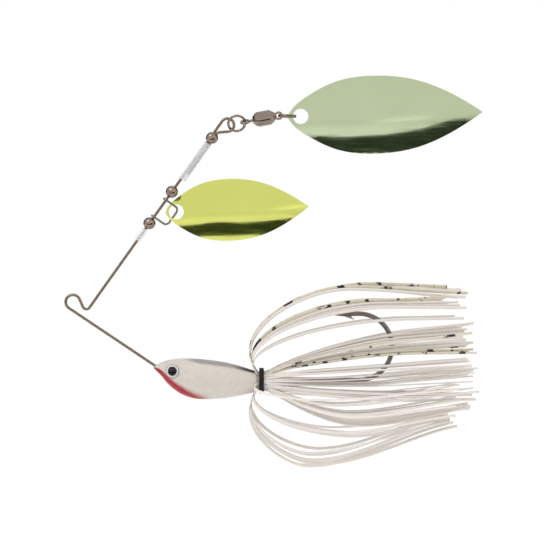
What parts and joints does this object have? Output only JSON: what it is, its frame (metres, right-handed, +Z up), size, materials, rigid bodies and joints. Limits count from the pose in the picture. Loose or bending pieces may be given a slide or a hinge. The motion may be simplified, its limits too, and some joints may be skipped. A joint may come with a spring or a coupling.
{
  "type": "spinnerbait",
  "caption": "Fishing lure: a bent wire frame joins a weighted, skirted hook head to two willow-leaf blades hung on a clevis and a ball-bearing swivel.",
  "frame": {"origin": "middle of the open line tie, where the line is fastened", "axes": "+X toward the hook's bend and the blade tips, +Z up toward the blades, Y across the bait"},
  "size_m": [0.1334, 0.0369, 0.1271],
  "materials": {
    "wire": "satin stainless wire",
    "nickel": "black-nickel plate",
    "gold_blade": "polished chartreuse-gold plate",
    "silver_blade": "polished pale green-silver plate",
    "head_paint": "clear-coated pearl paint over lead",
    "eye_foil": "silver foil with a black pupil",
    "eye_dome": "clear domed resin",
    "skirt": "soft pearl silicone",
    "band": "black rubber",
    "clear_tube": "clear vinyl"
  },
  "bodies": {
    "frame": {"wire_frame": "wire", "hook": "wire", "lead_head": "head_paint", "left_eye_foil": "eye_foil", "right_eye_foil": "eye_foil", "left_eye_dome": "eye_dome", "right_eye_dome": "eye_dome", "skirt_inner_strands": "skirt", "skirt_outer_strands": "skirt", "skirt_band": "band", "lower_stop_tube": "clear_tube", "upper_sleeve": "clear_tube"},
    "lower_bead": {"lower_bead": "nickel"},
    "middle_bead": {"middle_bead": "nickel"},
    "top_bead": {"top_bead": "nickel"},
    "clevis": {"clevis": "nickel"},
    "small_blade": {"small_blade": "gold_blade"},
    "link_ring": {"link_ring": "nickel"},
    "swivel_stem": {"swivel_stem": "nickel"},
    "swivel_balls": {"swivel_balls": "nickel"},
    "swivel_barrel": {"swivel_bush": "nickel", "swivel_barrel": "nickel"},
    "split_ring": {"split_ring": "nickel"},
    "large_blade": {"large_blade": "silver_blade"}
  },
  "joints": [
    {"name": "lower_bead_spin", "type": "hinge", "parent": "frame", "child": "lower_bead", "pos_m": [0.02442, 0, 0.02512], "axis": [0.58, 0, 0.8146], "continuous": true},
    {"name": "middle_bead_slide", "type": "slide", "parent": "frame", "child": "middle_bead", "axis": [0.58, 0, 0.8146], "range_m": [0, 0.0028]},
    {"name": "top_bead_spin", "type": "hinge", "parent": "frame", "child": "top_bead", "pos_m": [0.04436, 0, 0.05234], "axis": [0.58, 0, 0.8146], "continuous": true},
    {"name": "clevis_spin", "type": "hinge", "parent": "frame", "child": "clevis", "pos_m": [0.02781, 0, 0.02988], "axis": [0.58, 0, 0.8146], "continuous": true},
    {"name": "small_blade_swing", "type": "hinge", "parent": "clevis", "child": "small_blade", "pos_m": [0.03262, 0.00333, 0.03026], "axis": [0, 1, 0], "range_deg": [-12, 24]},
    {"name": "link_ring_swing", "type": "hinge", "parent": "frame", "child": "link_ring", "pos_m": [0.0493, 0, 0.05644], "axis": [0, 1, 0], "range_deg": [-35, 32]},
    {"name": "stem_swing", "type": "hinge", "parent": "link_ring", "child": "swivel_stem", "pos_m": [0.05224, 0, 0.05698], "axis": [-0.0911, 0.866, 0.4916], "range_deg": [-50, 50]},
    {"name": "ball_race_spin", "type": "hinge", "parent": "swivel_stem", "child": "swivel_balls", "pos_m": [0.05861, 0, 0.05816], "axis": [0.9833, 0, 0.1822], "continuous": true},
    {"name": "barrel_spin", "type": "hinge", "parent": "swivel_stem", "child": "swivel_barrel", "pos_m": [0.06109, 0, 0.05862], "axis": [0.9833, 0, 0.1822], "continuous": true},
    {"name": "split_ring_swing", "type": "hinge", "parent": "swivel_barrel", "child": "split_ring", "pos_m": [0.06562, 0, 0.05946], "axis": [0, 1, 0], "range_deg": [-60, 60]},
    {"name": "large_blade_swing", "type": "hinge", "parent": "split_ring", "child": "large_blade", "pos_m": [0.07105, 0, 0.05923], "axis": [0, 1, 0], "range_deg": [-50, 50]}
  ],
  "couplings": [
    {"joint": "ball_race_spin", "follows": "barrel_spin", "ratio": 0.5}
  ]
}
